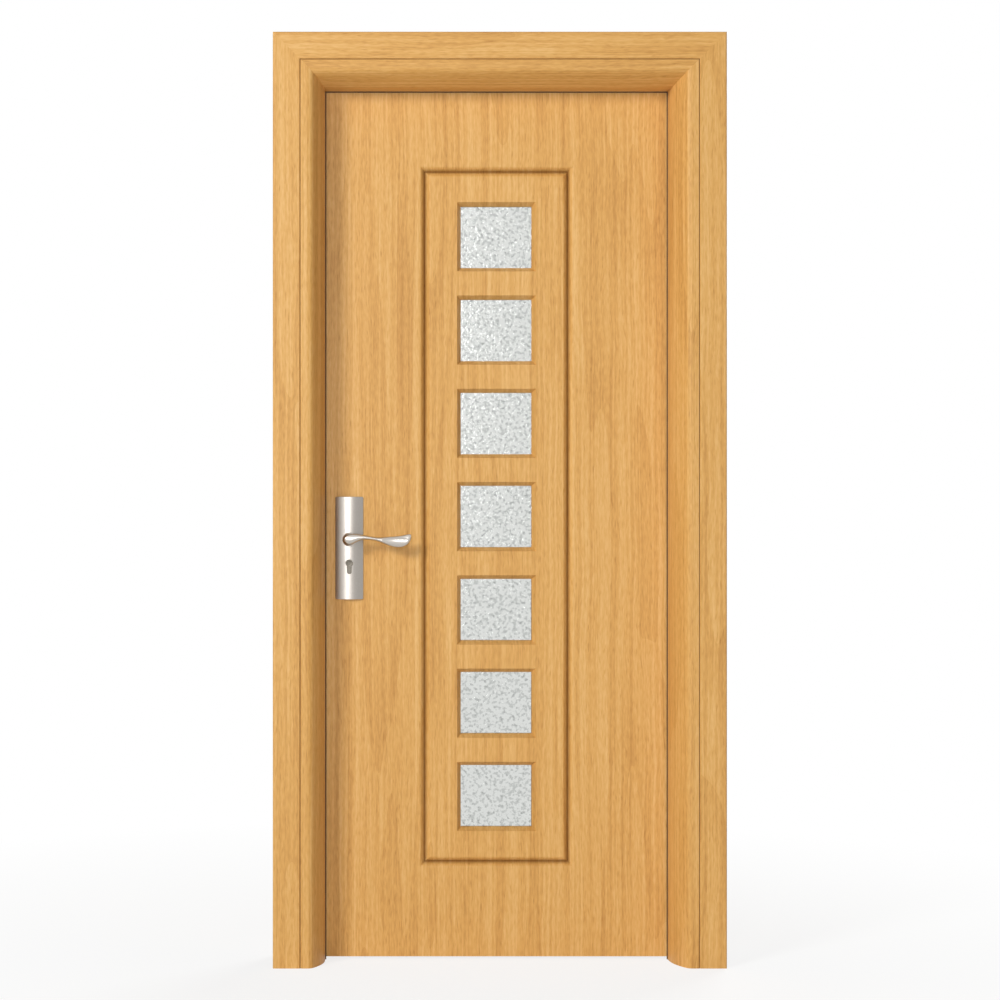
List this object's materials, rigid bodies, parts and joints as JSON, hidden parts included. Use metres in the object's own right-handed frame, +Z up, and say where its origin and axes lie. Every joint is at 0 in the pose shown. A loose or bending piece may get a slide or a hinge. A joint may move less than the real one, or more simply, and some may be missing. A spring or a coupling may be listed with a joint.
{
  "type": "glazed interior door",
  "caption": "Hinged interior door leaf with a column of small obscured panes and a lever handle, hung in a moulded frame with mitred casings.",
  "frame": {"origin": "at floor level on the hinge jamb's flat outer face, in the middle of the wall's thickness", "axes": "+Z up, +X out of the hinge jamb into the wall, +Y through the wall to the side the leaf opens to; the viewer of the picture stands on -Y"},
  "size_m": [1.0275, 0.1945, 2.119],
  "materials": {
    "oak_film": "light oak film, satin",
    "core_timber": "raw softwood and fibreboard",
    "obscured_glass": "pebbled obscured glass",
    "satin_nickel": "satin nickel plate",
    "lock_brass": "nickel-plated brass",
    "zinc_steel": "zinc-plated steel",
    "seal_rubber": "brown rubber"
  },
  "bodies": {
    "frame": {"hinge_jamb": "oak_film", "lock_jamb": "oak_film", "head_jamb": "oak_film", "front_hinge_casing": "oak_film", "front_lock_casing": "oak_film", "front_head_casing": "oak_film", "back_hinge_casing": "oak_film", "back_lock_casing": "oak_film", "back_head_casing": "oak_film", "hinge_seal": "seal_rubber", "lock_seal": "seal_rubber", "head_seal": "seal_rubber", "strike_plate": "satin_nickel", "bottom_hinge_frame_plate": "satin_nickel", "middle_hinge_frame_plate": "satin_nickel", "top_hinge_frame_plate": "satin_nickel", "hinge_pins": "satin_nickel"},
    "leaf": {"lock_stile": "core_timber", "hinge_stile": "core_timber", "top_rail": "core_timber", "bottom_rail": "core_timber", "core_panel": "core_timber", "front_skin": "oak_film", "back_skin": "oak_film", "front_beads": "oak_film", "back_beads": "oak_film", "pane_1": "obscured_glass", "pane_2": "obscured_glass", "pane_3": "obscured_glass", "pane_4": "obscured_glass", "pane_5": "obscured_glass", "pane_6": "obscured_glass", "pane_7": "obscured_glass", "mortise_lock": "satin_nickel", "latch_bolt": "satin_nickel", "dead_bolt": "satin_nickel", "lock_cylinder": "lock_brass", "front_handle_plate": "satin_nickel", "back_handle_plate": "satin_nickel", "bottom_hinge_leaf_plate": "satin_nickel", "middle_hinge_leaf_plate": "satin_nickel", "top_hinge_leaf_plate": "satin_nickel"},
    "lever": {"front_lever": "satin_nickel", "back_lever": "satin_nickel", "spindle": "zinc_steel"}
  },
  "joints": [
    {"name": "door_swing", "type": "hinge", "parent": "frame", "child": "leaf", "pos_m": [-0.0485, 0.0785, 1], "axis": [0, 0, -1], "range_deg": [0, 170]},
    {"name": "lever_turn", "type": "hinge", "parent": "leaf", "child": "lever", "pos_m": [-0.791, 0.052, 0.968], "axis": [0, 1, 0], "range_deg": [0, 45], "stiffness_Nm_per_rad": 1.5, "springref_deg": -45.84}
  ]
}
